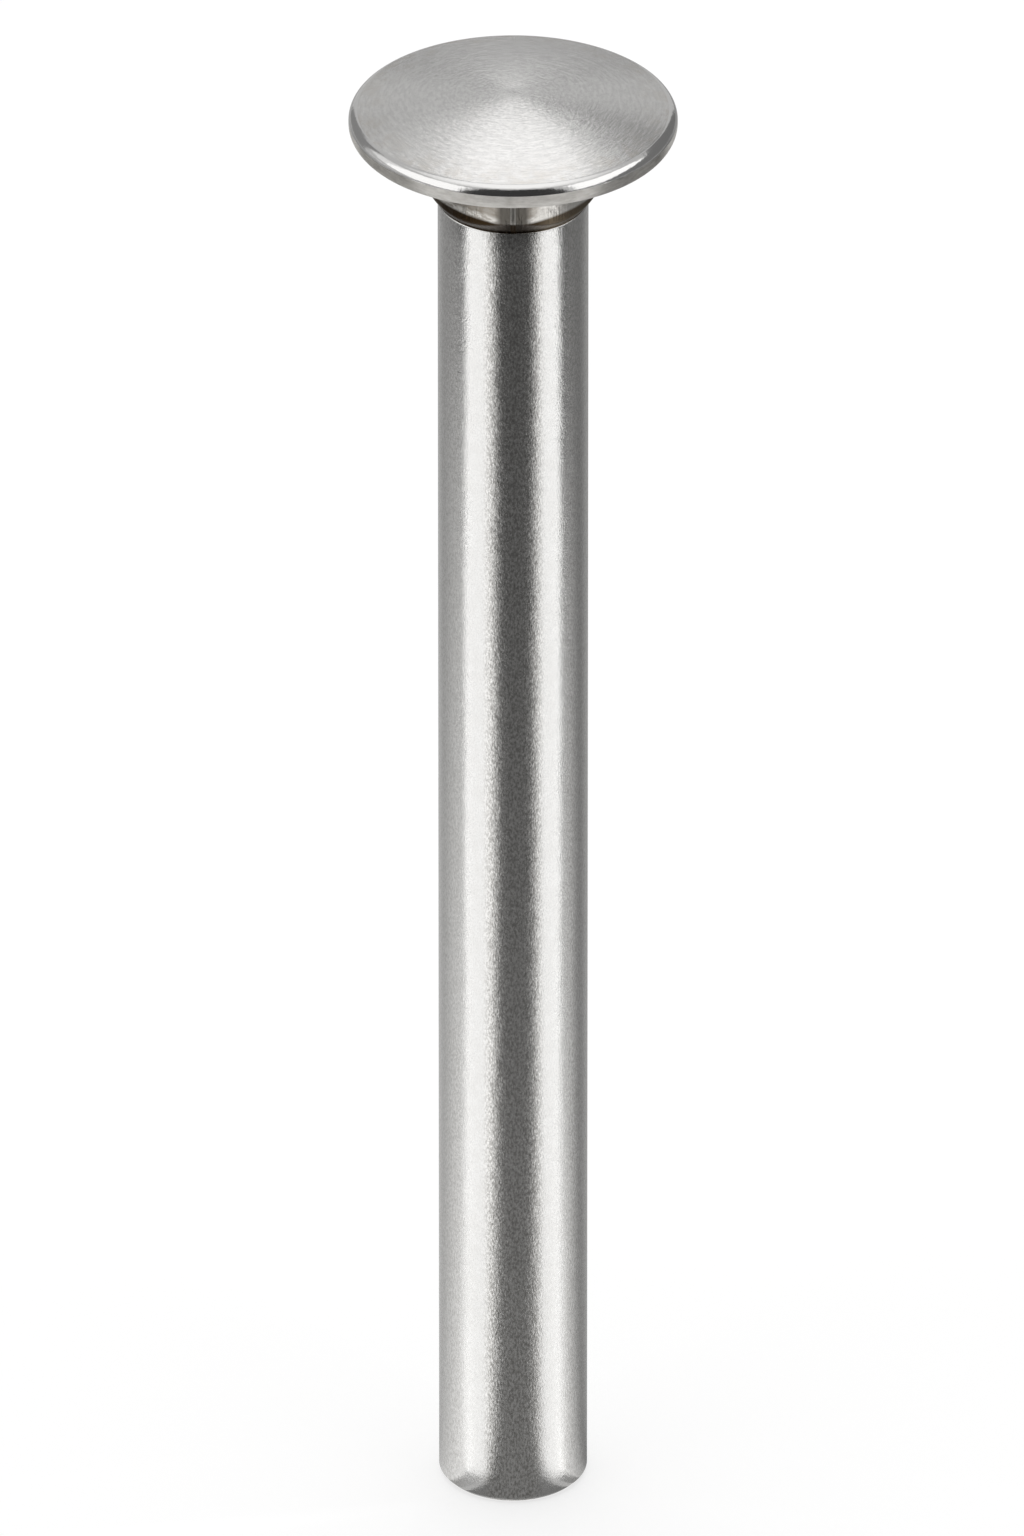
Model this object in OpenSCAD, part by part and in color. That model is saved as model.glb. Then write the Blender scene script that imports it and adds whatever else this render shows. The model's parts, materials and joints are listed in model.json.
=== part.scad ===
// Carriage bolt with a round head and a square neck, forged from one bar.
// It stands on the flat end of its shank, head up, with its axis along +Z
// and its origin at the centre of that flat end.

/* [Shank] */
// Diameter of the plain shank
shank_d = 12.4; // [6:0.05:20]
// Length from the bearing face under the head to the flat end
grip_l = 127; // [40:1:250]
// Chamfer around the flat end, the same across as along
end_chamfer = 0.5; // [0.1:0.05:2]

/* [Neck] */
// How far the middle of each side of the neck stands out past the shank
neck_step = 0.325; // [0.05:0.025:1]
// Length of the neck, from the bearing face to the shank
neck_l = 5.9; // [4:0.1:16]
// Radius of the slight outward crown of each side of the neck
neck_side_r = 12.2; // [12:0.1:100]
// How much the neck's four corners are blunted
corner_blunt = 0.06; // [0.02:0.01:0.5]
// Slope of the taper under the neck's corners, measured from the axis
neck_taper = 40; // [25:1:55]
// Rounding of the shoulder where the shank meets the neck
shoulder_r = 0.15; // [0.05:0.05:0.5]

/* [Head] */
// Diameter of the head
head_d = 27.05; // [22:0.05:50]
// Height of the head, from its bearing face to the top of its crown
head_h = 3.95; // [3:0.05:10]
// Height of the straight band around the head's edge
edge_band = 0.25; // [0.1:0.05:1]
// Rounding from the band up to the crown
edge_top_r = 0.95; // [0.2:0.05:1.5]
// Rounding from the band down to the bearing face
edge_under_r = 1.15; // [0.1:0.05:1.5]

/* [Hidden] */
$fn = 96;

shank_r = shank_d / 2;
head_r = head_d / 2;

// Each side of the neck is part of a large circle around a point behind the axis.
// Two neighbouring circles cross at the neck's sharp corner.
neck_half_w = shank_r + neck_step;
side_setback = neck_side_r - neck_half_w;
sharp_corner_r = sqrt(pow(neck_side_r, 2) - pow(side_setback, 2) / 2)
    - side_setback / sqrt(2);
corner_r = sharp_corner_r - corner_blunt;

// The shank ends where the neck's taper starts, one shoulder rounding further in.
shank_top = grip_l - neck_l;
taper_foot_r = shank_r - shoulder_r;
taper_head_r = taper_foot_r + neck_l * tan(neck_taper);

// The crown is part of a ball that runs smoothly into the rounding at its edge.
band_top = edge_under_r + edge_band;
rounding_x = head_r - edge_top_r;
crown_rise = head_h - band_top;
crown_r = (pow(rounding_x, 2) + pow(crown_rise, 2) - pow(edge_top_r, 2))
    / (2 * (crown_rise - edge_top_r));
crown_edge_x = rounding_x * crown_r / (crown_r - edge_top_r);

// A circle in the plane of a section, at x from the axis and y up.
module round_at(x, y, r) {
    translate([x, y]) circle(r);
}

// Half of the head's section, standing on its bearing face.
module head_section() {
    square([head_r - edge_under_r, band_top]);
    round_at(head_r - edge_under_r, edge_under_r, edge_under_r);
    translate([0, edge_under_r]) square([head_r, edge_band]);
    round_at(rounding_x, band_top, edge_top_r);
    translate([0, edge_under_r]) intersection() {
        round_at(0, head_h - edge_under_r - crown_r, crown_r);
        square([crown_edge_x, head_h - edge_under_r]);
    }
}

module head() {
    translate([0, 0, grip_l]) rotate_extrude() head_section();
}

// The neck's section: four crowned sides, with a blunted corner on each axis.
module neck_section() {
    intersection() {
        circle(corner_r);
        intersection_for (turn = [45 : 90 : 315])
            rotate(turn) translate([-side_setback, 0]) circle(neck_side_r);
    }
}

// The neck stands out past the shank all round, so a cone tapers it down to it.
module neck() {
    translate([0, 0, shank_top]) intersection() {
        linear_extrude(neck_l) neck_section();
        cylinder(h = neck_l, r1 = taper_foot_r, r2 = taper_head_r);
    }
}

// Half of the shank's section, from the chamfered flat end to the shoulder.
module shank_section() {
    shoulder_z = shank_top - shoulder_r;
    polygon([
        [0, 0],
        [shank_r - end_chamfer, 0],
        [shank_r, end_chamfer],
        [shank_r, shoulder_z],
        [0, shoulder_z]
    ]);
    translate([0, shoulder_z]) square([taper_foot_r, shoulder_r]);
    round_at(taper_foot_r, shoulder_z, shoulder_r);
}

module bolt() {
    color("silver") union() {
        head();
        neck();
        rotate_extrude() shank_section();
    }
}

bolt();
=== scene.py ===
# %% [markdown]
# # A carriage bolt in bare steel
#
# A carriage bolt is one forging: a low domed head, a short square neck that stops it from
# turning in its hole, and a plain round shank. There is only one piece here, so everything
# depends on two things: edges that are slightly round, as real edges are, and steel whose
# finish changes from the brushed crown to the polished edge to the satin shank.
#
# The frame is the imported part in metres, standing on its flat end with its axis along +Z.
# Nothing in it is moved. Its box gives the main sizes.

# %% Load the frame and a way to read its box
import json
import math
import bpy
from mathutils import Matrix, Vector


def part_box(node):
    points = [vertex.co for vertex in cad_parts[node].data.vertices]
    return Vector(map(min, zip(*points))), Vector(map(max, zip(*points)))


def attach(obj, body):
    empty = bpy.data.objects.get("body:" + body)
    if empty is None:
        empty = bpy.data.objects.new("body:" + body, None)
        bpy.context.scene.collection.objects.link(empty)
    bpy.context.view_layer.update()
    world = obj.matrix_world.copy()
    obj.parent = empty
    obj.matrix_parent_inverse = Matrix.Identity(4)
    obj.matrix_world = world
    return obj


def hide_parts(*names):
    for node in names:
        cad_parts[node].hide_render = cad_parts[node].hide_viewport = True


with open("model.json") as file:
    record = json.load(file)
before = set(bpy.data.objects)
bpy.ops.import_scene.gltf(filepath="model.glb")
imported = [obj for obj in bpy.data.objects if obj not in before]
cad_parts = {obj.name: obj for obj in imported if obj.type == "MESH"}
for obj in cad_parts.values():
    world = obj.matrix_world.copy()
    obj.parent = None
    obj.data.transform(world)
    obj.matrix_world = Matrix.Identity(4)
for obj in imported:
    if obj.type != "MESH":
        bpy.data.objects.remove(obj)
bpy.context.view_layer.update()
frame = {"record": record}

from types import SimpleNamespace

import bpy
import numpy as np
from mathutils import Vector

# %% [markdown]
# ## Sizes from the frame
#
# On the real bolt the shank's diameter drives everything else. Here the sizes could be
# typed in again, but then they could drift from the part. So the main ones are read: the
# part's box gives the head's diameter and the total height, and its mounts give the shank's
# radius and the height of the face that the head is drawn down on.

# %% Read the main sizes
MM = 0.001
mounts = {mount["name"]: mount for mount in frame["record"]["mounts"]}
bolt_low, bolt_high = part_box("bolt")

shank_r = mounts["shank"]["dims"]["r_mm"] * MM
head_r = min(-bolt_low[0], -bolt_low[1], bolt_high[0], bolt_high[1])
top_z = bolt_high[2]
bearing_z = mounts["bearing_face"]["pos_m"][2]
print("head", 2 * head_r, "across, shank", 2 * shank_r, "across, total height", top_z)

# %% [markdown]
# ## Sizes of the small features
#
# The chamfer, the neck's crown and taper and the roundings of the head's edge aren't in the
# frame as numbers, so they repeat the part's source. With the same values the visual mesh
# lies on the exact solid.

# %% Repeat the small sizes
end_chamfer = 0.5 * MM
neck_l = 5.9 * MM
neck_step = 0.325 * MM
neck_side_r = 12.2 * MM
corner_blunt = 0.06 * MM
neck_taper = math.radians(40)
shoulder_r = 0.15 * MM
edge_band = 0.25 * MM
edge_top_r = 0.95 * MM
edge_under_r = 1.15 * MM
shank_top = bearing_z - neck_l
print("the neck reaches from", shank_top, "to", bearing_z)

# %% [markdown]
# ## The outline as corners with a rounding
#
# A turned or forged edge is never perfectly sharp, and it is the small rounding that catches
# the light and tells the eye that this is metal. A bevel modifier could round the finished
# mesh, but it gives every edge the same rounding. So the outline is given as a few corners,
# each with its own radius, and one function lays an arc into every corner. The arc touches
# both lines, so the surface runs smoothly from one to the next.

# %% Lay an arc into each corner of an outline
ARC_STEPS = 6


def rounded(corners):
    """The outline through (x, z, radius) corners, with an arc of that radius in each."""
    points = [np.array(corners[0][:2])]
    for before, corner, after in zip(corners, corners[1:], corners[2:]):
        here = np.array(corner[:2])
        back = np.array(before[:2]) - here
        ahead = np.array(after[:2]) - here
        back /= np.linalg.norm(back)
        ahead /= np.linalg.norm(ahead)
        half_angle = math.acos(np.clip(back @ ahead, -1, 1)) / 2
        middle = (back + ahead) / np.linalg.norm(back + ahead)
        centre = here + middle * corner[2] / math.sin(half_angle)
        start = here + back * corner[2] / math.tan(half_angle) - centre
        finish = here + ahead * corner[2] / math.tan(half_angle) - centre
        sweep = math.pi - 2 * half_angle
        for part in np.linspace(0, 1, ARC_STEPS + 1):
            mix = math.sin((1 - part) * sweep) * start + math.sin(part * sweep) * finish
            points.append(centre + mix / math.sin(sweep))
    points.append(np.array(corners[-1][:2]))
    return points


print("each rounding has", ARC_STEPS + 1, "points")

# %% [markdown]
# ## The neck's section
#
# The neck is a square whose sides bulge a little. Each side is part of a large circle, and
# the corner is where two of them cross, blunted by a narrow land. Measured from the axis,
# the radius of that section is a short formula of the angle. A soft minimum joins the
# pieces, because a hard one would leave a razor edge that no forging has.

# %% Radius of the neck at any angle
corner_soft = 0.03 * MM
side_setback = neck_side_r - shank_r - neck_step
sharp_corner_r = math.sqrt(neck_side_r**2 - side_setback**2 / 2) - side_setback / math.sqrt(2)
corner_r = sharp_corner_r - corner_blunt


def soft_min(a, b, width):
    """The smaller of a and b, with the change from one to the other spread over width."""
    share = np.clip(0.5 + 0.5 * (b - a) / width, 0, 1)
    return b * (1 - share) + a * share - width * share * (1 - share)


def neck_radius(angle):
    """Distance from the axis to the neck's side, with a corner towards -Y."""
    off_side = (angle % (math.pi / 2)) - math.pi / 4
    side = np.sqrt(neck_side_r**2 - (side_setback * np.sin(off_side)) ** 2)
    side = side - side_setback * np.cos(off_side)
    return soft_min(side, corner_r, corner_soft)


print("the neck is", 2 * float(neck_radius(np.array(math.pi / 4))), "across its sides")

# %% [markdown]
# ## Angles of the rings
#
# The bolt is built like a pot on a wheel: one closed ring of points after another, from the
# flat end up to the crown. A spin of the outline would do for the head and the shank, but
# the neck is square, and with rings all three are one mesh. Every ring has the same angles.
# They are packed closer at the neck's four corners, where its section turns quickly.

# %% Choose the angles
coarse_step = 1.7
fine_step = 0.3
fine_reach = 5.0


def ring_angles():
    """Angles round the axis in radians, finer near each of the neck's corners."""
    near = np.arange(0, fine_reach, fine_step)
    far = np.linspace(fine_reach, 45, int((45 - fine_reach) / coarse_step) + 1)
    eighth = np.concatenate([near, far])
    quarter = np.concatenate([eighth, 90 - eighth[-2:0:-1]])
    return np.radians(np.concatenate([quarter + 90 * turn for turn in range(4)]))


angles = ring_angles()
print("each ring has", len(angles), "points")

# %% [markdown]
# ## Zones
#
# One piece of steel shows six finishes on seven zones, because each stretch was made in its
# own way. Every ring is kept with its zone, so that the faces just below it can take the right
# finish later. That is simpler than picking faces by their place in the finished mesh.

# %% Keep each ring with its zone
ZONES = ("end", "shank", "neck", "underside", "rim", "bevel", "crown")
rings = []
ring_zone = []


def add_ring(radius, height, zone):
    """One ring, as points round the axis; radius is a number or one value per angle."""
    around = np.broadcast_to(radius, angles.shape)
    up = np.full(angles.shape, height)
    rings.append(np.stack([around * np.sin(angles), -around * np.cos(angles), up], axis=1))
    ring_zone.append(ZONES.index(zone))


print(len(ZONES), "zones:", ", ".join(ZONES))

# %% [markdown]
# ## Flat end and chamfer
#
# The bar was cut square and chamfered, so that it starts easily in its hole. The real
# chamfer's two edges are worn a little, so each gets a rounding. The flat face could be one
# big polygon, but rings keep it level and smooth right up to its edge.

# %% Rings of the flat end
end_rings = 14
end_edge_r = 0.1 * MM
chamfer_edge_r = 0.25 * MM
foot_top = 5 * MM
foot = rounded([(0.0, 0.0), (shank_r - end_chamfer, 0.0, end_edge_r),
                (shank_r, end_chamfer, chamfer_edge_r), (shank_r, foot_top)])
second_rounding = ARC_STEPS + 2  # the end's centre and the first rounding come before it
for x in np.linspace(0.02, 0.98, end_rings) * foot[1][0]:
    add_ring(x, 0.0, "end")
for x, z in foot[1:second_rounding]:
    add_ring(x, z, "end")
for x, z in foot[second_rounding:]:
    add_ring(x, z, "shank")
print(len(rings), "rings up to", foot_top)

# %% [markdown]
# ## Shank and shoulder
#
# The plain shank ends in a small rounded shoulder just under the neck. The straight stretch
# needs no shape of its own, but its rings are spread evenly, because very long thin faces
# shade badly. The shoulder is rounded a touch less than on the part, so that its last ring
# and the neck's first one don't fall on each other.

# %% Rings of the shank
shank_rings = 40
shoulder_start = 2 * MM
shoulder_share = 0.95


def spaced(first, last, count):
    """Points on the straight way between two points, without the two themselves."""
    return [first + (last - first) * k / (count + 1) for k in range(1, count + 1)]


shoulder = rounded([(shank_r, shank_top - shoulder_start),
                    (shank_r, shank_top, shoulder_r * shoulder_share),
                    (shank_r - shoulder_r, shank_top)])
for x, z in spaced(foot[-1], shoulder[0], shank_rings) + shoulder[:-1]:
    add_ring(x, z, "shank")
print(len(rings), "rings up to", shank_top)

# %% [markdown]
# ## Neck, taper and fillet
#
# The neck stands out past the shank, and a cone tapers it down, so each ring takes the
# smaller of the neck's section and the cone. Cutting one solid with another could do the
# same, but it leaves ragged faces along the cut. The rings are close together over the
# taper. The last ones spread in a fillet, which every forging has where neck meets head.

# %% Rings of the neck
taper_foot_r = shank_r - shoulder_r
taper_soft = 0.12 * MM
taper_top = 2.4 * MM
fillet_r = 0.45 * MM
neck_heights = np.concatenate([
    np.linspace(0, taper_top, 40),
    np.linspace(taper_top, neck_l - fillet_r, 12)[1:],
])
section = neck_radius(angles)
for height in neck_heights:
    cone = taper_foot_r + height * math.tan(neck_taper)
    add_ring(soft_min(section, cone, taper_soft), shank_top + height, "neck")
for turn in np.radians(np.linspace(0, 90, 10)[1:]):
    spread = section + fillet_r * (1 - math.cos(turn))
    add_ring(spread, bearing_z - fillet_r * (1 - math.sin(turn)), "neck")
print(len(rings), "rings up to the head's face")

# %% [markdown]
# ## Underside and rolled rim
#
# Under the head lies the flat face that is drawn down on the wood. Its rings change from
# the neck's square to a circle. The head's edge then rolls up in a large rounding to a
# narrow upright band. Both come from the die, and they were never polished.

# %% Rings of the underside and the rim
band_low = bearing_z + edge_under_r
band_high = band_low + edge_band
under_x = head_r - edge_under_r
neck_edge = section + fillet_r
for share in np.linspace(0, 1, 8)[1:]:
    add_ring(neck_edge + (under_x - neck_edge) * share, bearing_z, "underside")
for turn in np.linspace(math.pi, math.pi / 2, 15)[1:]:
    add_ring(under_x + edge_under_r * math.sin(turn),
             band_low + edge_under_r * math.cos(turn), "rim")
for height in np.linspace(band_low, band_high, 4)[1:]:
    add_ring(head_r, height, "rim")
print(len(rings), "rings up to the band at", band_high)

# %% [markdown]
# ## Bevel and crown
#
# A second rounding leads from the band to the crown. The crown is part of a ball that
# touches that rounding, so the ball's radius follows from the head's height, and there is
# no edge between the two. The rounding was polished together with the crown, down to a line
# a little above the band: below the line it belongs to the rim, above it to the bevel.

# %% Rings of the bevel and the crown
polish_from = math.radians(7)
rounding_x = head_r - edge_top_r
crown_rise = top_z - band_high
crown_r = (rounding_x**2 + crown_rise**2 - edge_top_r**2) / (2 * (crown_rise - edge_top_r))
crown_slope = math.asin(rounding_x / (crown_r - edge_top_r))
rim_slopes = np.linspace(0, polish_from, 4)[1:]
bevel_slopes = np.linspace(polish_from, math.pi / 2 - crown_slope, 20)[1:]
for zone, slopes in (("rim", rim_slopes), ("bevel", bevel_slopes)):
    for slope in slopes:
        add_ring(rounding_x + edge_top_r * math.cos(slope),
                 band_high + edge_top_r * math.sin(slope), zone)
for turn in np.linspace(crown_slope, 0, 60)[1:-1]:
    add_ring(crown_r * math.sin(turn), top_z - crown_r + crown_r * math.cos(turn), "crown")
print(len(rings), "rings in all; the crown's ball has radius", crown_r)

# %% [markdown]
# ## Skin over the rings
#
# Neighbouring rings are joined by four-sided faces, and the two ends are closed by fans
# around one point. The result is one closed mesh with no stray faces, so it can also be
# printed or weighed. Every face keeps the number of its zone, which picks its finish.

# %% Join the rings into one closed mesh
def skin(name, low_pole, high_pole):
    """A closed mesh over the rings, from the low pole up to the high pole."""
    count = len(rings[0])
    verts = np.concatenate([*rings, [low_pole, high_pole]])
    low, high = len(verts) - 2, len(verts) - 1
    last = (len(rings) - 1) * count
    faces, face_zone = [], []
    for k in range(count):
        step = (k + 1) % count
        faces.append((low, step, k))
        face_zone.append(ring_zone[0])
        for ring in range(len(rings) - 1):
            a, b = ring * count + k, ring * count + step
            faces.append((a, b, b + count, a + count))
            face_zone.append(ring_zone[ring + 1])
        faces.append((last + k, last + step, high))
        face_zone.append(ring_zone[-1])
    mesh = bpy.data.meshes.new(name)
    mesh.from_pydata(verts.tolist(), [], faces)
    mesh.polygons.foreach_set("material_index", face_zone)
    mesh.polygons.foreach_set("use_smooth", [True] * len(faces))
    mesh.update()
    piece = bpy.data.objects.new(name, mesh)
    bpy.context.scene.collection.objects.link(piece)
    return piece


bolt = skin("carriage_bolt", (0, 0, 0), (0, 0, top_z))
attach(bolt, "root")
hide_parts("bolt")
print("the bolt has", len(bolt.data.polygons), "faces")

# %% [markdown]
# ## Bare steel
#
# All the finishes are the same steel. What differs is how the surface was left, so each
# finish is a Principled shader, nearly always at full metal, with its own colour, roughness
# and tiny relief.
# Nodes could be placed by hand in the editor. Here a small helper adds a node, fills its
# sockets and links it in one line, so a finish reads like a recipe.

# %% Add a node, and start a finish
finishes = {}


def add(tree, kind, settings=None, **sockets):
    """A node of this kind; a socket given as an output is linked, any other is a value."""
    node = tree.nodes.new(kind)
    for name, value in (settings or {}).items():
        setattr(node, name, value)
    for name, value in sockets.items():
        by_number = name[0] == "i" and name[1:].isdigit()
        socket = node.inputs[int(name[1:]) if by_number else name.replace("_", " ")]
        if isinstance(value, bpy.types.NodeSocket):
            tree.links.new(value, socket)
        else:
            socket.default_value = value
    return node


def plain(name, colour, roughness, metallic=1.0, anisotropy=0.0):
    """A material with no pattern yet, bare metal as a rule; also its nodes and its shader."""
    made = bpy.data.materials.new(name)
    made.use_nodes = True
    tree = made.node_tree
    shader = tree.nodes["Principled BSDF"]
    shader.inputs["Base Color"].default_value = (*colour, 1)
    shader.inputs["Metallic"].default_value = metallic
    shader.inputs["Roughness"].default_value = roughness
    shader.inputs["Anisotropic"].default_value = anisotropy
    return made, tree, shader


def finish_zones(made, *zones):
    """Keep this finish for these zones."""
    for zone in zones:
        finishes[zone] = made
    print(made.name, "is for", ", ".join(zones), "and has", len(made.node_tree.nodes), "nodes")


print("ready: add, plain, finish_zones")

# %% [markdown]
# ## Where a pattern lies
#
# A turned or brushed part is marked round its axis, so its patterns need places measured
# from the axis: how far out, how high, and in which direction. Unwrapping the mesh could
# give such places too, but it always leaves a seam. The direction round the axis, as a
# vector of length one, has none.

# %% Places on the bolt
def maths(tree, operation, a, b):
    """Two values or sockets worked into one."""
    return add(tree, "ShaderNodeMath", {"operation": operation}, i0=a, i1=b).outputs[0]


def times(tree, a, b):
    """The product of two values or sockets."""
    return maths(tree, "MULTIPLY", a, b)


def plus(tree, a, b):
    """The sum of two values or sockets."""
    return maths(tree, "ADD", a, b)


def part_of(tree, vector, axis):
    """The X, Y or Z part of a vector."""
    return add(tree, "ShaderNodeSeparateXYZ", i0=vector).outputs[axis]


def places(tree):
    """Sockets: position, reach from the axis, height, and way, the direction round the axis."""
    position = add(tree, "ShaderNodeTexCoord").outputs["Object"]
    level = add(tree, "ShaderNodeVectorMath", {"operation": "MULTIPLY"}, i0=position,
                i1=(1, 1, 0)).outputs[0]
    reach = add(tree, "ShaderNodeVectorMath", {"operation": "LENGTH"}, i0=level)
    way = add(tree, "ShaderNodeVectorMath", {"operation": "NORMALIZE"}, i0=level)
    return SimpleNamespace(position=position, reach=reach.outputs["Value"],
                           height=part_of(tree, position, "Z"), way=way.outputs[0])


print("ready: maths, times, plus, part_of, places")

# %% [markdown]
# ## Patterns, steps and colours
#
# Real metal is never even, so every finish starts from noise. A ramp turns a stretch of
# noise, or a stretch of the bolt, into a soft step from one value to another, and a blend
# lays one colour over another by it. Noise that is drawn out round the axis makes the fine
# circles that a brush or a lathe tool leaves. Its scale counts marks per metre, so a scale
# of 1000 makes marks about a millimetre wide.

# %% Noise, ramps and blends
def noise(tree, vector, scale, detail=2.0, rough=0.5):
    """A noise pattern between 0 and 1."""
    node = add(tree, "ShaderNodeTexNoise", Vector=vector, Scale=scale, Detail=detail,
               Roughness=rough)
    return node.outputs["Fac"]


def drawn_out(tree, way, way_scale, along, along_scale, detail=2.0, rough=0.5):
    """Noise in long marks round the axis, one beside the other along the given value."""
    wide = add(tree, "ShaderNodeVectorMath", {"operation": "SCALE"}, i0=way, Scale=way_scale)
    stacked = add(tree, "ShaderNodeCombineXYZ", X=part_of(tree, wide.outputs[0], "X"),
                  Y=part_of(tree, wide.outputs[0], "Y"), Z=times(tree, along, along_scale))
    return noise(tree, stacked.outputs[0], 1.0, detail, rough)


def ramp(tree, value, low, high, start=0.0, stop=1.0, kind="SMOOTHSTEP"):
    """The value carried from low..high to start..stop, and held at both ends."""
    node = add(tree, "ShaderNodeMapRange", {"interpolation_type": kind}, Value=value,
               From_Min=low, From_Max=high, To_Min=start, To_Max=stop)
    return node.outputs[0]


def blend(tree, factor, first, second):
    """The second colour over the first by factor; each is a colour or a socket."""
    node = add(tree, "ShaderNodeMix", {"data_type": "RGBA"}, Factor=factor)
    for socket, colour in ((node.inputs[6], first), (node.inputs[7], second)):
        if isinstance(colour, bpy.types.NodeSocket):
            tree.links.new(colour, socket)
        else:
            socket.default_value = (*colour, 1)
    return node.outputs[2]


print("ready: noise, drawn_out, ramp, blend")

# %% [markdown]
# ## Relief in layers
#
# Dents, strokes and grain on steel are a few hundredths of a millimetre deep, far too fine
# for the mesh. Bump nodes tilt the light instead. They are laid on each other, the broadest
# pattern first, each with its real depth in metres, so no layer hides the one below it.

# %% Lay relief on a shader
def relief(tree, shader, *layers):
    """Bump in layers, each a pattern and its depth in metres, the broadest one first."""
    below = None
    for pattern, depth in layers:
        node = add(tree, "ShaderNodeBump", Height=pattern, Distance=depth, Strength=1.0)
        if below is not None:
            tree.links.new(below, node.inputs["Normal"])
        below = node.outputs[0]
    tree.links.new(below, shader.inputs["Normal"])


print("ready: relief")

# %% [markdown]
# ## The turned end
#
# The flat end was faced on a lathe, which leaves shallow circles, and it picks up brown
# stain towards its edge, where it touches the floor. It is mostly hidden in use, so its
# finish stays simple: one pattern of circles in relief, and one cloudy stain.

# %% Turned end
def turned_end():
    """Shallow circles, and a cloudy brown stain towards the edge."""
    made, tree, shader = plain("turned_end", (0.66, 0.645, 0.62), 0.45)
    at = places(tree)
    relief(tree, shader, (drawn_out(tree, at.way, 1.5, at.reach, 4000, 3, 0.6), 0.008 * MM))
    border = ramp(tree, at.reach, 4.2 * MM, 5.8 * MM)
    cloud = ramp(tree, noise(tree, at.position, 700, 3, 0.6), 0.4, 0.7)
    colour = blend(tree, times(tree, border, cloud), (0.66, 0.645, 0.62), (0.5, 0.46, 0.41))
    tree.links.new(colour, shader.inputs["Base Color"])
    return made


finish_zones(turned_end(), "end")

# %% [markdown]
# ## The satin shank: grain
#
# The shank was drawn and then tumbled, so its shine is broken by a fine grain. Seen closely
# it is uneven in four ways: slow swells, a ripple, slanted strokes and the grain itself,
# which is stronger at the foot, where the bolt was handled. Roughness alone
# would blur the reflections evenly, and only relief makes their edges sparkle.

# %% Relief of the shank
def stretched(tree, vector, z_scale, turn=(0, 0, 0)):
    """The vector with its Z scaled, which draws a pattern out upwards; turn slants it."""
    node = add(tree, "ShaderNodeMapping", Vector=vector, Rotation=turn, Scale=(1, 1, z_scale))
    return node.outputs[0]


def satin_grain(tree, shader, at, handled):
    """Swells, a ripple, slanted strokes and a fine grain, laid on each other."""
    strokes = noise(tree, stretched(tree, at.position, 0.5, (0.5, 0.6, 0)), 8000, 1.5)
    fine = noise(tree, stretched(tree, at.position, 0.6), 8000, 3, 0.6)
    grain = times(tree, fine, plus(tree, 1.0, times(tree, handled, 0.5)))
    relief(tree, shader,
           (noise(tree, at.position, 420, 1.5), 0.03 * MM),
           (noise(tree, at.position, 1200, 1.5), 0.012 * MM),
           (strokes, 0.006 * MM),
           (grain, 0.014 * MM))


print("ready: stretched, satin_grain")

# %% [markdown]
# ## The satin shank: gloss and colour
#
# Between the grain's points the steel is a little frosted, so the roughness is a pattern
# too. The colour is pale steel with fine specks. Along the front the steel is scuffed matt,
# in small pale and dark marks, which is what gives the dark reflection there its grain. The
# scuffed steel fades in by the direction round the axis, so it belongs to the bolt.

# %% Gloss and colour of the shank
def satin_gloss(tree, shader, at, handled):
    """Roughness from a soft polish up to frosted, a little rougher at the foot."""
    frost = ramp(tree, noise(tree, stretched(tree, at.position, 0.6), 10000, 1), 0.3, 0.7)
    rough = times(tree, frost, plus(tree, 0.16, times(tree, handled, 0.03)))
    tree.links.new(plus(tree, rough, 0.09), shader.inputs["Roughness"])


def satin_colour(tree, shader, at, handled):
    """Speckled steel, with scuffed matt steel over it along the front."""
    specks = ramp(tree, noise(tree, stretched(tree, at.position, 0.6), 12000, 1), 0.25, 0.75)
    patches = ramp(tree, noise(tree, at.position, 700, 3, 0.6), 0.3, 0.7)
    bright = blend(tree, patches, (0.83, 0.822, 0.805), (0.88, 0.876, 0.864))
    speckled = blend(tree, times(tree, specks, 0.8), bright, (0.77, 0.765, 0.752))
    brushed = noise(tree, stretched(tree, at.position, 0.5), 6500, 3, 0.7)
    matt = blend(tree, ramp(tree, brushed, 0.36, 0.66), (0.98, 0.967, 0.94),
                 (0.46, 0.447, 0.423))
    fore_aft = part_of(tree, at.way, "Y")
    middle = ramp(tree, fore_aft, -0.9, -0.965, 0.04, 0.85)
    flanks = ramp(tree, fore_aft, -0.8, -0.65, 0.0, 0.34)
    scuffed = plus(tree, times(tree, handled, 0.1), plus(tree, middle, flanks))
    tree.links.new(blend(tree, scuffed, speckled, matt), shader.inputs["Base Color"])


def satin_shank():
    """Grain, gloss and colour together, each stronger where the bolt was handled."""
    made, tree, shader = plain("satin_shank", (0.83, 0.825, 0.812), 0.16)
    at = places(tree)
    handled = ramp(tree, at.height, 55 * MM, 8 * MM)
    satin_grain(tree, shader, at, handled)
    satin_gloss(tree, shader, at, handled)
    satin_colour(tree, shader, at, handled)
    return made


finish_zones(satin_shank(), "shank")
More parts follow.
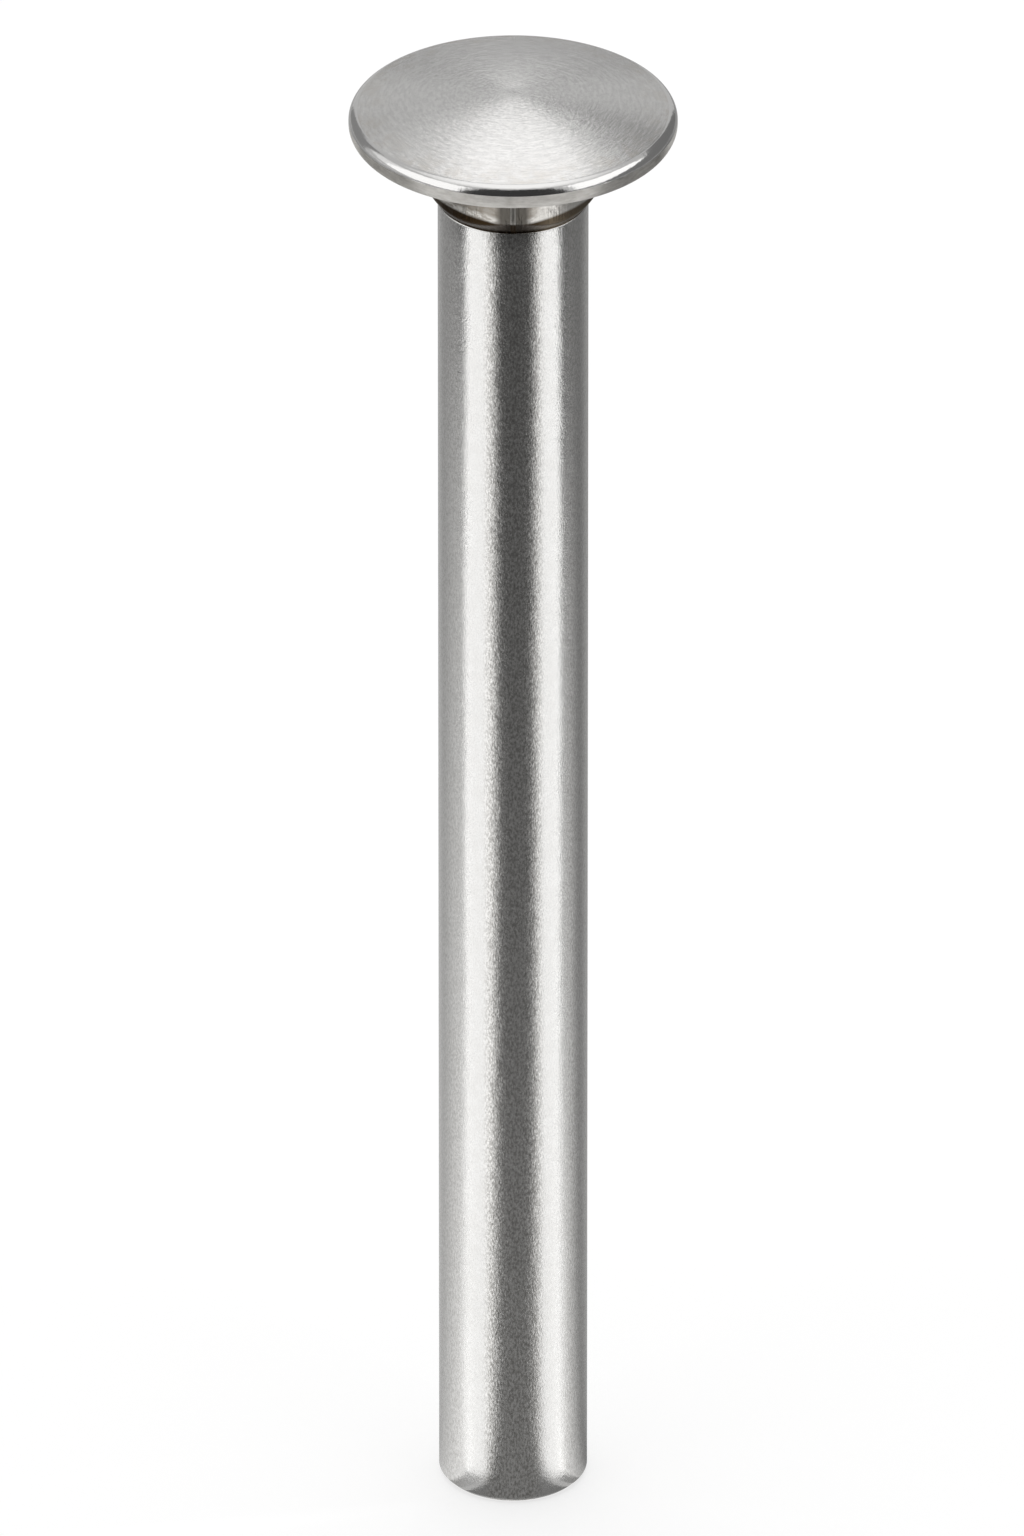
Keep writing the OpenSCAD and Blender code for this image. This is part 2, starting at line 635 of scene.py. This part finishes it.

# %% [markdown]
# ## The forged neck: its sides
#
# The neck keeps the skin of the forging: brown scale, pits, and marks drawn round it. Its
# right side is painted almost bright, as a painted highlight, and its left side is painted
# dull and darker, as painted shade. Paint masks could show that, but the direction round the
# axis gives the same borders with a line of ramps.

# %% Colour of the neck's sides
def forged_sides(tree, at, across, scale):
    """Painted shade on the left, a painted highlight on the right, with brown skin and scale
    over it.
    """
    # Painted light: a painted highlight on the right side, painted shade on the left side.
    painted_highlight_right = ramp(tree, across, 0.12, 0.42)
    painted_shade_left = blend(tree, ramp(tree, across, -0.28, -0.5), (0.4, 0.375, 0.34), (0.29, 0.27, 0.24))
    bare = blend(tree, painted_highlight_right, painted_shade_left, (0.94, 0.92, 0.88))
    skinned = ramp(tree, noise(tree, at.position, 500, 4, 0.65), 0.35, 0.7)
    skinned = times(tree, skinned, ramp(tree, painted_highlight_right, 0, 1, 0.6, 0.35))
    brown = blend(tree, skinned, bare, (0.34, 0.305, 0.26))
    scaled = times(tree, scale, ramp(tree, painted_highlight_right, 0, 1, 0.55, 0.2))
    return blend(tree, scaled, brown, (0.24, 0.205, 0.165))


print("ready: forged_sides")

# %% [markdown]
# ## The forged neck: hem, corners and foot
#
# Four smaller marks sit on those sides, all of them painted light or shade. A painted
# highlight wanders along the lower edge of each side as a bright hem. Each corner is painted
# dark, as painted shade, with a painted highlight on its narrow rubbed arris. The nooks at the
# far left and right, close under the head, get painted shade in dark brown. Below the hem the
# tapering cone is painted almost black, as painted shade. Each is one blend over the last.

# %% Colour of the neck's edges
taper_edge = 1.2 * MM


def hem_highlight(tree, at, above, scale):
    """1 along the lower edge of the neck's sides, for a painted highlight, with a ragged top."""
    wander = times(tree, drawn_out(tree, at.way, 5.0, at.height, 300, 3, 0.6), 0.9 * MM)
    low = ramp(tree, maths(tree, "SUBTRACT", above, wander), taper_edge + 0.4 * MM, taper_edge)
    return times(tree, low, ramp(tree, scale, 1.0, 0.2, 0.3, 0.85))


def corner_wear_and_highlight(tree, off_corner):
    """1 on each corner's narrow arris, for a painted highlight and roughness, less in its very
    middle.
    """
    core = ramp(tree, off_corner, 0.005, 0.014, 0.45, 1.0)
    return times(tree, ramp(tree, off_corner, 0.036, 0.026), core)


def nook_shade(tree, across, above):
    """1 high up at the far left and right of the neck, where painted shade goes."""
    outward = ramp(tree, maths(tree, "ABSOLUTE", across, 0.0), 0.45, 0.68)
    return times(tree, outward, ramp(tree, above, neck_l - 1.5 * MM, neck_l - 0.7 * MM))


def cone_colour(tree, across):
    """Painted shade: nearly black brown at the front, a little lighter towards both sides."""
    lit = blend(tree, ramp(tree, across, 0.2, 0.55), (0.033, 0.02, 0.009), (0.172, 0.138, 0.098))
    return blend(tree, ramp(tree, across, -0.85, -0.96), lit, (0.14, 0.113, 0.08))


print("ready: hem_highlight, corner_wear_and_highlight, nook_shade, cone_colour")

# %% [markdown]
# ## The forged neck: all together
#
# The blends are stacked one over the other: the skin from the forge, then the painted
# highlight on the hem, the painted shade on the corners and the painted highlight on each
# arris, then the painted shade in the nooks and on the cone. The arris is also made rougher,
# because a rubbed edge scatters light. The underside of the head came from the same die and
# gets the same finish.

# %% Forged neck
def forged_neck():
    """Skin, scale, painted highlights and painted shade on the neck, down to the dark cone."""
    made, tree, shader = plain("forged_neck", (0.5, 0.475, 0.44), 0.3)
    at = places(tree)
    relief(tree, shader,
           (drawn_out(tree, at.way, 30.0, at.height, 500), 0.03 * MM),
           (noise(tree, at.position, 1800, 3, 0.6), 0.05 * MM))
    across = part_of(tree, at.way, "X")
    fore_aft = part_of(tree, at.way, "Y")
    off_corner = maths(tree, "MINIMUM", maths(tree, "ABSOLUTE", across, 0.0),
                       maths(tree, "ABSOLUTE", fore_aft, 0.0))
    above = maths(tree, "SUBTRACT", at.height, shank_top)
    scale = ramp(tree, drawn_out(tree, at.way, 7.0, at.height, 2600, 4, 0.7), 0.42, 0.62)
    arris = corner_wear_and_highlight(tree, off_corner)
    colour = forged_sides(tree, at, across, scale)
    # Painted highlight: a bright hem along the lower edge of each side.
    colour = blend(tree, hem_highlight(tree, at, above, scale), colour, (0.8, 0.78, 0.74))
    # Painted shade: each corner of the neck is painted dark.
    colour = blend(tree, ramp(tree, off_corner, 0.24, 0.13), colour, (0.13, 0.12, 0.105))
    # Painted highlight on each corner's arris, which is also rubbed rougher.
    colour = blend(tree, arris, colour, (0.5, 0.485, 0.455))
    # Painted shade in the nooks close under the head.
    colour = blend(tree, nook_shade(tree, across, above), colour, (0.135, 0.108, 0.082))
    # Painted shade on the tapering cone below the hem.
    on_cone = ramp(tree, above, taper_edge + 0.3 * MM, taper_edge)
    colour = blend(tree, on_cone, colour, cone_colour(tree, across))
    tree.links.new(colour, shader.inputs["Base Color"])
    tree.links.new(ramp(tree, arris, 0, 1, 0.3, 0.75), shader.inputs["Roughness"])
    return made


finish_zones(forged_neck(), "neck", "underside")

# %% [markdown]
# ## The rolled rim
#
# The lower rounding of the head's edge and its band were never polished. They keep a dull
# grey skin that hardly mirrors anything, so Metallic is turned low here, and the colour does
# the work. Clouds and streaks of stain run through it, and it is painted darker towards both
# sides, as painted shade.

# %% Rolled rim
def rim_colour(tree, at, stain):
    """Pale stained skin at the front; painted shade, darker on the left and darkest on the
    right.
    """
    across = part_of(tree, at.way, "X")
    # Painted shade: masks for the darker left and right of the rim.
    left = times(tree, ramp(tree, across, -0.5, -0.64), ramp(tree, across, -0.98, -0.88))
    right = times(tree, ramp(tree, across, 0.42, 0.62), ramp(tree, across, 0.97, 0.88))
    front_tone = blend(tree, stain, (0.72, 0.7, 0.665), (0.5, 0.48, 0.445))
    painted_shade_left_tone = blend(tree, stain, (0.43, 0.415, 0.385), (0.28, 0.268, 0.245))
    painted_shade_right_tone = blend(tree, stain, (0.31, 0.3, 0.28), (0.17, 0.162, 0.15))
    return blend(tree, right, blend(tree, left, front_tone, painted_shade_left_tone), painted_shade_right_tone)


def rolled_rim():
    """Dull stained skin with dents and drawn marks."""
    made, tree, shader = plain("rolled_rim", (0.6, 0.58, 0.545), 0.4, metallic=0.15)
    at = places(tree)
    relief(tree, shader,
           (noise(tree, at.position, 1500), 0.03 * MM),
           (drawn_out(tree, at.way, 20.0, at.height, 3500), 0.03 * MM))
    cloud = ramp(tree, noise(tree, at.position, 700, 3, 0.6), 0.35, 0.7)
    streak = ramp(tree, drawn_out(tree, at.way, 14.0, at.height, 5000, 3, 0.6), 0.35, 0.7)
    stain = plus(tree, times(tree, cloud, 0.5), times(tree, streak, 0.5))
    tree.links.new(rim_colour(tree, at, stain), shader.inputs["Base Color"])
    return made


finish_zones(rolled_rim(), "rim")

# %% [markdown]
# ## The polished bevel
#
# The upper rounding of the head's edge is the brightest line on the bolt. It was polished,
# so it is smooth, with only tiny nicks and fine lines left round it. Its curve does most of
# the work: a tight rounding gathers the whole room into a narrow bright band.

# %% Polished bevel
def polished_bevel():
    """Smooth steel with tiny nicks and fine lines round it."""
    made, tree, shader = plain("polished_bevel", (0.84, 0.832, 0.82), 0.13)
    at = places(tree)
    relief(tree, shader,
           (noise(tree, at.position, 2500), 0.01 * MM),
           (drawn_out(tree, at.way, 12.0, at.height, 5000), 0.006 * MM))
    return made


finish_zones(polished_bevel(), "bevel")

# %% [markdown]
# ## The brushed crown
#
# The crown was brushed while it turned, so fine circles run round its pole. They spread
# every highlight across themselves, into a bright fan from the pole to the edge. A texture
# of circles can't do that alone. The shader's anisotropy does it, with its tangent set
# round the axis, and relief and colour add the single marks. The wide and long marks fade
# out at the pole, where circles would shrink to a dot. Near the edge lies a little stain.

# %% Brushed crown
def circles_relief(tree, shader, at):
    """Wide, long and short brush marks, laid on each other."""
    off_pole = ramp(tree, at.reach, 0.3 * MM, 2.0 * MM)
    wide = drawn_out(tree, at.way, 1.2, at.reach, 1000)
    long = drawn_out(tree, at.way, 3.0, at.reach, 6000)
    short = drawn_out(tree, at.way, 12.0, at.reach, 5200, 2, 0.6)
    relief(tree, shader,
           (times(tree, wide, off_pole), 0.008 * MM),
           (times(tree, long, off_pole), 0.02 * MM),
           (short, 0.019 * MM))


def crown_colour(tree, at):
    """Pale and darker hairs and dust, with a brown stain near the edge."""
    hair = drawn_out(tree, at.way, 8.0, at.reach, 4200, 2, 0.6)
    dust = noise(tree, at.position, 4200, 2, 0.6)
    marks = ramp(tree, plus(tree, times(tree, hair, 0.65), times(tree, dust, 0.35)), 0.38, 0.62)
    brushed = blend(tree, marks, (0.868, 0.859, 0.846), (0.772, 0.764, 0.752))
    near_edge = ramp(tree, at.reach, 9.5 * MM, 12.8 * MM)
    stain = ramp(tree, noise(tree, at.position, 800, 4, 0.65), 0.4, 0.7)
    return blend(tree, times(tree, near_edge, stain), brushed, (0.76, 0.735, 0.7))


def brushed_crown():
    """Circles in relief and colour over steel that spreads its highlights across them."""
    made, tree, shader = plain("brushed_crown", (0.82, 0.812, 0.8), 0.27, anisotropy=0.8)
    shader.inputs["Anisotropic Rotation"].default_value = 0.25
    tangent = add(tree, "ShaderNodeTangent", {"direction_type": "RADIAL", "axis": "Z"})
    tree.links.new(tangent.outputs[0], shader.inputs["Tangent"])
    at = places(tree)
    circles_relief(tree, shader, at)
    tree.links.new(crown_colour(tree, at), shader.inputs["Base Color"])
    return made


finish_zones(brushed_crown(), "crown")

# %% [markdown]
# ## Finishes on the zones
#
# A mesh holds its materials in numbered slots, and each face names a slot. The faces got
# their zone's number when the skin was made, so the finishes only have to be put into the
# slots in the order of the zones.

# %% Put the finishes in their slots
for zone in ZONES:
    bolt.data.materials.append(finishes[zone])
print("slots:", [made.name for made in bolt.data.materials])

# %% [markdown]
# ## The floor
#
# The bolt stands on a plain pale floor that keeps its soft shadow. A bright white floor
# would need strong lamps, and those would burn out the steel. So part of the floor's
# brightness is its own glow, and only for the rays that look at it as a background: from
# the camera, or mirrored off metal. The soft light that it throws back stays as it is.

# %% Floor
floor_half = 8.0
floor_glow = 1.1
glow_share = 0.6


def plate(name, corners):
    """A flat sheet that belongs to the studio."""
    mesh = bpy.data.meshes.new(name)
    mesh.from_pydata([tuple(corner) for corner in corners], [], [tuple(range(len(corners)))])
    mesh.update()
    sheet = bpy.data.objects.new(name, mesh)
    bpy.context.scene.collection.objects.link(sheet)
    return sheet


def sees_background(tree):
    """1 for rays that should find the pale background: from the camera, or off metal."""
    path = add(tree, "ShaderNodeLightPath").outputs
    either = maths(tree, "MAXIMUM", path["Is Camera Ray"], path["Is Glossy Ray"])
    return maths(tree, "MAXIMUM", either, path["Is Transmission Ray"])


floor = plate("floor", [(-floor_half, -floor_half, 0), (floor_half, -floor_half, 0),
                        (floor_half, floor_half, 0), (-floor_half, floor_half, 0)])
pale, tree, shader = plain("floor_white", (0.9, 0.9, 0.9), 0.9, metallic=0.0)
glow = add(tree, "ShaderNodeEmission", Color=(1, 1, 1, 1), Strength=floor_glow)
mix = add(tree, "ShaderNodeMixShader", i0=times(tree, sees_background(tree), glow_share),
          i1=shader.outputs[0], i2=glow.outputs[0])
tree.links.new(mix.outputs[0], tree.nodes["Material Output"].inputs["Surface"])
floor.data.materials.append(pale)
print("the floor is", 2 * floor_half, "m wide")

# %% [markdown]
# ## Cards for the metal to mirror
#
# Polished metal has hardly any look of its own: it shows the room. In a studio, people set
# up black and white cards just outside the view, and their edges become the crisp edges of
# the reflections. The cards here do the same. Each glows a little or a lot, but only for
# reflections, so it throws no light or shadow and can lie right beside the bolt. A card's
# level can also change from place to place, for which straight and fading make the nodes.

# %% Make a card
cards = []


def card(name, corners, level):
    """A card seen only in reflections; level is a number or makes a socket from the nodes."""
    sheet = plate(name, corners)
    sheet.visible_camera = False
    sheet.visible_diffuse = False
    sheet.visible_shadow = False
    made = bpy.data.materials.new(name)
    made.use_nodes = True
    tree = made.node_tree
    tree.nodes.clear()
    strength = level(tree) if callable(level) else level
    light = add(tree, "ShaderNodeEmission", Color=(1, 1, 1, 1), Strength=strength)
    out = add(tree, "ShaderNodeOutputMaterial")
    tree.links.new(light.outputs[0], out.inputs["Surface"])
    sheet.data.materials.append(made)
    cards.append(sheet)


def straight(tree, value, low, high, start, stop):
    """The value carried evenly from low..high to start..stop, and held at both ends."""
    return ramp(tree, value, low, high, start, stop, "LINEAR")


def fading(near_r, far_r, near_level, far_level):
    """A level that changes evenly with the distance from the axis."""
    return lambda tree: straight(tree, places(tree).reach, near_r, far_r, near_level, far_level)


print("ready: card, straight, fading")

# %% [markdown]
# ## The dark card in front
#
# The shank mirrors the floor around it, and each height of the shank finds a wider circle
# of the floor. A dark card that widens towards the viewer therefore becomes an upright dark
# stripe with straight sides. Its borders are a few listed corners. A half-dark
# verge lies along each border, so that the stripe ends softly, as it would in a real room.

# %% Front card and its verges
SHEET_GAP = 0.1 * MM


def lying(spots, sheets):
    """Corners on the floor, lifted by this many sheet gaps."""
    return [(x, y, sheets * SHEET_GAP) for x, y in spots]


left_inner = [(-0.004, -0.003), (-0.0038, -0.0088), (-0.0562, -0.1305), (-0.104, -0.2015),
              (-0.156, -0.3023)]
left_outer = [(-0.0045, -0.003), (-0.0047, -0.0085), (-0.0708, -0.1238), (-0.1245, -0.1889),
              (-0.186, -0.2844)]
right_inner = [(0.0045, -0.003), (0.005, -0.009), (0.072, -0.1216), (0.12, -0.1925),
               (0.1845, -0.3082)]
right_outer = [(0.005, -0.003), (0.0062, -0.0085), (0.089, -0.1107), (0.1429, -0.1756),
               (0.2205, -0.2836)]
verge_level = 0.5
card("front_card", lying(left_inner + right_inner[::-1], 4),
     fading(near_r=0.0, far_r=0.21, near_level=0.195, far_level=0.078))
card("left_verge", lying(left_inner + left_outer[::-1], 4), verge_level)
card("right_verge", lying(right_inner + right_outer[::-1], 4), verge_level)
print(len(cards), "cards in front of the shank")

# %% [markdown]
# ## The wall in front
#
# The edge of the head has a dark line at its front, under the bright one, because it mirrors
# the dark side of the room. The front card lies too low for that, so a black wall stands at
# its far end. It also keeps the very top of the shank dark. It narrows upwards, which lets
# the dark line taper off to the left and right.

# %% Front wall
wall_y = -0.276
wall_outline = [(-0.19, 0), (0.2, 0), (0.2, 0.13), (0.17, 0.3), (0.15, 0.47), (-0.12, 0.47),
                (-0.14, 0.3), (-0.19, 0.13)]
wall_level = 0.04
card("front_wall", [(x, wall_y, z) for x, z in wall_outline], wall_level)
print("the wall is", max(z for x, z in wall_outline), "m high")

# %% [markdown]
# ## How grey the sides are
#
# Beyond the white cards the shank turns away, and its two outer stripes are grey. They are
# pale next to the bright bands, darkest further round, and a little lighter again at the
# very edge, which mirrors what lies behind the bolt. One level can't do that, so the grey
# cards take theirs from two things: how far out a spot lies, and how far round the bolt.
# A notch dims them right beside the bright cards, except close to the bolt.

# %% Level of a grey card
GREY_SPAN = (0.02, 0.195)
NOTCH_SPAN = (-0.17, -0.02)
NOTCH_START = (0.03, 0.09)
notch_depth = 0.7
pale_until = -0.09
turning_y = 0.6 * shank_r


def grey_level(side):
    """Bright beside the bolt, darkest further round, and lighter again behind it."""
    def level(tree):
        at = places(tree)
        spot = add(tree, "ShaderNodeVectorMath", {"operation": "ADD"}, i0=at.position,
                   i1=(0, turning_y, 0))
        heading = add(tree, "ShaderNodeVectorMath", {"operation": "NORMALIZE"},
                      i0=spot.outputs[0])
        behind = part_of(tree, heading.outputs[0], "Y")
        dimmed = straight(tree, at.reach, *side.dim_span, 1.0, side.dim_to)
        bright = times(tree, straight(tree, at.reach, *GREY_SPAN, *side.bright), dimmed)
        dark = straight(tree, at.reach, *GREY_SPAN, *side.dark)
        share = straight(tree, behind, pale_until, side.darkest, 0.0, 1.0)
        grey = plus(tree, times(tree, bright, maths(tree, "SUBTRACT", 1.0, share)),
                    times(tree, dark, share))
        notch = times(tree, straight(tree, behind, *NOTCH_SPAN, notch_depth, 0.0),
                      straight(tree, at.reach, *NOTCH_START, 0.0, 1.0))
        grey = times(tree, grey, maths(tree, "SUBTRACT", 1.0, notch))
        return plus(tree, grey, straight(tree, behind, *side.rise, 0.0, side.back))
    return level


print("ready: grey_level")

# %% [markdown]
# ## The cards beside the bolt
#
# Each side of the floor has four cards: a dim one for the whole room, a white one for the
# bright band, a narrow gleam along its outer border, and the grey one beyond it. The two
# sides have the same layout, so a loop makes both, and each has its own levels, because a
# room is never the same on both sides of an object.

# %% Side cards
BORDER_X = (0.007, 0.17, 0.45)
GLEAM_WIDTHS = (0.0008, 0.018, 0.047)
room_half = 3
white_level = 1.06
gleam_level = 1.5
sides = {
    "left": SimpleNamespace(
        way=-1, border_y=(-0.0057, -0.033, -0.16), room=0.4, bright=(0.88, 0.5),
        dark=(0.46, 0.3), darkest=0.72, dim_span=(0.195, 0.22), dim_to=0.35,
        rise=(0.72, 0.95), back=0.14),
    "right": SimpleNamespace(
        way=1, border_y=(-0.0045, -0.038, -0.19), room=0.3, bright=(0.86, 0.42),
        dark=(0.24, 0.17), darkest=0.5, dim_span=(0.16, 0.21), dim_to=0.4,
        rise=(0.62, 0.9), back=0.16),
}
for name, side in sides.items():
    way = side.way
    border = [(way * x, y) for x, y in zip(BORDER_X, side.border_y)]
    inside = [(x, y - width) for (x, y), width in zip(border, GLEAM_WIDTHS)]
    room = [(0, -room_half), (way * room_half, -room_half), (way * room_half, room_half),
            (0, room_half)]
    white = [(way * 0.0045, -0.0085), (way * 0.14, -0.264), (way * 0.21, -0.397),
             (way * 0.4, -0.28), *border[::-1]]
    grey = [*border, (way * 0.45, 0.45), (0, 0.5), (0, 0.0075)]
    card(name + "_room", lying(room, 1), side.room)
    card(name + "_white", lying(white, 2), white_level)
    card(name + "_gleam", lying([*border, *inside[::-1]], 2.5), gleam_level)
    card(name + "_grey", lying(grey, 3), grey_level(side))
print(len(cards), "cards with both sides")

# %% [markdown]
# ## The cards around the head
#
# The polished edge of the head mirrors things at the height of the bolt and above it: a
# bright box on each side for its long highlights, a softer glow behind the left one, and a
# shade further round on both sides, where the edge turns dark. They stand upright, left and
# right of the bolt. It is easiest to say where such a card begins and ends as seen from the
# head's edge, so its corners are pairs of angles: how far round from the front, and how high.

# %% Boxes and shades
lowest = 5 * MM


def seen_from_edge(side, away, spots):
    """Corners on an upright plane beside the bolt, from pairs of angles at the head's edge."""
    corners = []
    for turn, lift in np.radians(spots):
        reach = away / math.sin(turn)
        height = bearing_z + reach * math.tan(lift)
        corners.append((side * away, -reach * math.cos(turn), max(height, lowest)))
    return corners


box_away = 0.6
glow_away = 0.61
shade_away = 0.62
left_box = [(35, -6), (56, -4), (75, 6), (90, 10), (96, 20), (96, 34), (90, 47), (75, 50),
            (56, 50), (35, 45)]
left_glow = [(88, 8), (104, 14), (117, 23), (116, 38), (88, 46)]
left_shade = [(117, -8), (117, 20), (121, 36), (128, 42), (142, 42), (154, 36), (154, -8)]
right_box = [(41, -4), (56, -1), (75, 14.5), (97, 25), (109, 30), (109, 46), (97, 49),
             (75, 50), (56, 50), (41, 45)]
right_shade = [(62, -8), (62, 1), (75, 13), (88, 20), (99, 25), (109, 29), (125, 38),
               (140, 43), (152, 38), (152, -8)]
card("left_box", seen_from_edge(-1, box_away, left_box), level=1.15)
card("left_glow", seen_from_edge(-1, glow_away, left_glow), level=0.78)
card("left_shade", seen_from_edge(-1, shade_away, left_shade), level=0.24)
card("right_box", seen_from_edge(1, box_away, right_box), level=1.2)
card("right_shade", seen_from_edge(1, shade_away, right_shade), level=0.17)
print(len(cards), "cards with those around the head")

# %% [markdown]
# ## The cards above and behind
#
# The crown looks up. Its front half mirrors the lamp, and the half behind the pole looks low
# over the floor behind the bolt, which would be too bright, so a grey shade stands there.
# A bright card overhead is for the front of the head's edge and the crown beside it. A grey
# card high at the back is for the edge at the far left, and a dark flag beside the lamp
# trims its light on the right.

# %% Sky cards
card("sky_card", [(-0.6, -0.45, 1.0), (0.6, -0.45, 1.0), (0.6, 0.38, 1.0), (-0.6, 0.38, 1.0)],
     fading(near_r=0.25, far_r=0.7, near_level=1.06, far_level=0.6))
card("back_shade", [(-0.3, 2.0, 0.2), (0.3, 2.0, 0.2), (0.36, 2.0, 0.8), (-0.36, 2.0, 0.8)],
     level=0.3)
card("left_sky", [(-0.16, 0.75, 0.65), (-0.8, 0.6, 0.65), (-0.6, 0.3, 1.2),
                  (-0.16, 0.45, 1.2)], level=0.5)
card("right_flag", [(0.14, 0.78, 0.62), (0.3, 0.72, 0.62), (0.3, 0.6, 0.85),
                    (0.14, 0.66, 0.85)], level=0.2)
print(len(cards), "cards in all")

# %% [markdown]
# ## Lamps and sky
#
# One soft lamp stands above and behind the bolt, at the place that the front of the crown
# mirrors, and gives it its bright fan. A second, much larger one hangs overhead for soft light
# and a soft shadow, and it is hidden from reflections, or it would show up in the crown.
# Each is given as bright as its surface looks, because that is what a mirror shows.

# %% Lamps and sky
def soft_lamp(name, width, height, radiance, place, target):
    """A rectangular lamp that faces its target, as bright as radiance."""
    data = bpy.data.lights.new(name, "AREA")
    data.shape = "RECTANGLE"
    data.size, data.size_y = width, height
    data.energy = radiance * math.pi * width * height
    lamp = bpy.data.objects.new(name, data)
    lamp.location = place
    lamp.rotation_mode = "QUATERNION"
    lamp.rotation_quaternion = (Vector(target) - Vector(place)).to_track_quat("-Z", "Y")
    bpy.context.scene.collection.objects.link(lamp)
    return lamp


sky_level = 0.5
soft_lamp("back_lamp", width=0.33, height=0.43, radiance=0.88, place=(0.02, 0.66, 0.88),
          target=(0, 0, 0.13))
fill = soft_lamp("fill_lamp", width=1.6, height=1.6, radiance=1.9, place=(0.0, 0.2, 1.6),
                 target=(0, 0, 0))
fill.visible_glossy = False
world = bpy.data.worlds.new("studio")
bpy.context.scene.world = world
world.use_nodes = True
sky = world.node_tree.nodes["Background"]
sky.inputs["Color"].default_value = (sky_level, sky_level, sky_level, 1)
print("lamps:", [light.name for light in bpy.data.lights], "sky", sky_level)

# %% [markdown]
# ## The camera
#
# The bolt is looked at from a little above, so that the crown shows as an oval and the
# neck's front corner peeps out under it. A long lens from far away keeps the shank's sides
# almost parallel, as they look when a small object is held at arm's length.

# %% Camera
elevation = math.radians(29.49)
distance = 2.8303
aim = Vector((-0.00009, 0, 0.06727))
lens = bpy.data.cameras.new("camera")
lens.lens = 800
lens.clip_end = 20
camera = bpy.data.objects.new("camera", lens)
back = Vector((0, -math.cos(elevation), math.sin(elevation)))
camera.location = aim + back * distance
camera.rotation_mode = "QUATERNION"
camera.rotation_quaternion = (-back).to_track_quat("-Z", "Y")
bpy.context.scene.collection.objects.link(camera)
bpy.context.scene.camera = camera
bpy.context.scene.view_settings.view_transform = "Standard"
print("the camera stands at", tuple(camera.location))
